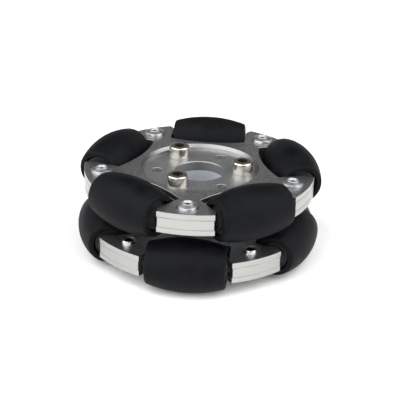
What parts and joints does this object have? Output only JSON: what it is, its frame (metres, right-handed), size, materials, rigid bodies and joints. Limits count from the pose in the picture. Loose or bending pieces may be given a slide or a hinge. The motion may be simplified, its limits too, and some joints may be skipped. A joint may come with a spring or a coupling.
{
  "type": "omni wheel",
  "caption": "Double-row omni wheel: riveted aluminium star plates carry free-spinning rubber barrel rollers around a bored hub.",
  "frame": {"origin": "centre of the wheel, on its axis, midway between the two rows of rollers", "axes": "+Z along the wheel's axis towards the row with the screw heads; the wheel lies flat; -Y through the middle of an arm of the upper row"},
  "size_m": [0.1, 0.1, 0.042],
  "materials": {
    "plate_aluminium": "satin",
    "rivet_aluminium": "bright",
    "mandrel_steel": "broken end",
    "tyre_rubber": "matte moulded",
    "core_plastic": "moulded",
    "bush_plastic": "moulded",
    "axle_steel": "ground",
    "natural_nylon": "turned",
    "nickel_plated_steel": "bright plated"
  },
  "bodies": {
    "hub": {"hub_spacer": "natural_nylon", "cap_screws": "nickel_plated_steel", "hex_nuts": "nickel_plated_steel", "upper_outer_plate": "plate_aluminium", "upper_core_plate": "plate_aluminium", "upper_inner_plate": "plate_aluminium", "upper_rivets": "rivet_aluminium", "upper_rivet_mandrels": "mandrel_steel", "upper_axle_1": "axle_steel", "upper_axle_2": "axle_steel", "upper_axle_3": "axle_steel", "upper_axle_4": "axle_steel", "upper_axle_5": "axle_steel", "lower_outer_plate": "plate_aluminium", "lower_core_plate": "plate_aluminium", "lower_inner_plate": "plate_aluminium", "lower_rivets": "rivet_aluminium", "lower_rivet_mandrels": "mandrel_steel", "lower_axle_1": "axle_steel", "lower_axle_2": "axle_steel", "lower_axle_3": "axle_steel", "lower_axle_4": "axle_steel", "lower_axle_5": "axle_steel"},
    "upper_roller_1": {"upper_tyre_1": "tyre_rubber", "upper_roller_core_1": "core_plastic", "upper_bushes_1": "bush_plastic"},
    "upper_roller_2": {"upper_tyre_2": "tyre_rubber", "upper_roller_core_2": "core_plastic", "upper_bushes_2": "bush_plastic"},
    "upper_roller_3": {"upper_tyre_3": "tyre_rubber", "upper_roller_core_3": "core_plastic", "upper_bushes_3": "bush_plastic"},
    "upper_roller_4": {"upper_tyre_4": "tyre_rubber", "upper_roller_core_4": "core_plastic", "upper_bushes_4": "bush_plastic"},
    "upper_roller_5": {"upper_tyre_5": "tyre_rubber", "upper_roller_core_5": "core_plastic", "upper_bushes_5": "bush_plastic"},
    "lower_roller_1": {"lower_tyre_1": "tyre_rubber", "lower_roller_core_1": "core_plastic", "lower_bushes_1": "bush_plastic"},
    "lower_roller_2": {"lower_tyre_2": "tyre_rubber", "lower_roller_core_2": "core_plastic", "lower_bushes_2": "bush_plastic"},
    "lower_roller_3": {"lower_tyre_3": "tyre_rubber", "lower_roller_core_3": "core_plastic", "lower_bushes_3": "bush_plastic"},
    "lower_roller_4": {"lower_tyre_4": "tyre_rubber", "lower_roller_core_4": "core_plastic", "lower_bushes_4": "bush_plastic"},
    "lower_roller_5": {"lower_tyre_5": "tyre_rubber", "lower_roller_core_5": "core_plastic", "lower_bushes_5": "bush_plastic"}
  },
  "joints": [
    {"name": "upper_roller_1_spin", "type": "hinge", "parent": "hub", "child": "upper_roller_1", "pos_m": [0.03742, 0.01216, 0.0104], "axis": [-0.309, 0.9511, 0], "continuous": true},
    {"name": "upper_roller_2_spin", "type": "hinge", "parent": "hub", "child": "upper_roller_2", "pos_m": [0, 0.03935, 0.0104], "axis": [-1, 0, 0], "continuous": true},
    {"name": "upper_roller_3_spin", "type": "hinge", "parent": "hub", "child": "upper_roller_3", "pos_m": [-0.03742, 0.01216, 0.0104], "axis": [-0.309, -0.9511, 0], "continuous": true},
    {"name": "upper_roller_4_spin", "type": "hinge", "parent": "hub", "child": "upper_roller_4", "pos_m": [-0.02313, -0.03184, 0.0104], "axis": [0.809, -0.5878, 0], "continuous": true},
    {"name": "upper_roller_5_spin", "type": "hinge", "parent": "hub", "child": "upper_roller_5", "pos_m": [0.02313, -0.03184, 0.0104], "axis": [0.809, 0.5878, 0], "continuous": true},
    {"name": "lower_roller_1_spin", "type": "hinge", "parent": "hub", "child": "lower_roller_1", "pos_m": [-0.03742, -0.01216, -0.0104], "axis": [0.309, -0.9511, 0], "continuous": true},
    {"name": "lower_roller_2_spin", "type": "hinge", "parent": "hub", "child": "lower_roller_2", "pos_m": [0, -0.03935, -0.0104], "axis": [1, 0, 0], "continuous": true},
    {"name": "lower_roller_3_spin", "type": "hinge", "parent": "hub", "child": "lower_roller_3", "pos_m": [0.03742, -0.01216, -0.0104], "axis": [0.309, 0.9511, 0], "continuous": true},
    {"name": "lower_roller_4_spin", "type": "hinge", "parent": "hub", "child": "lower_roller_4", "pos_m": [0.02313, 0.03184, -0.0104], "axis": [-0.809, 0.5878, 0], "continuous": true},
    {"name": "lower_roller_5_spin", "type": "hinge", "parent": "hub", "child": "lower_roller_5", "pos_m": [-0.02313, 0.03184, -0.0104], "axis": [-0.809, -0.5878, 0], "continuous": true}
  ]
}
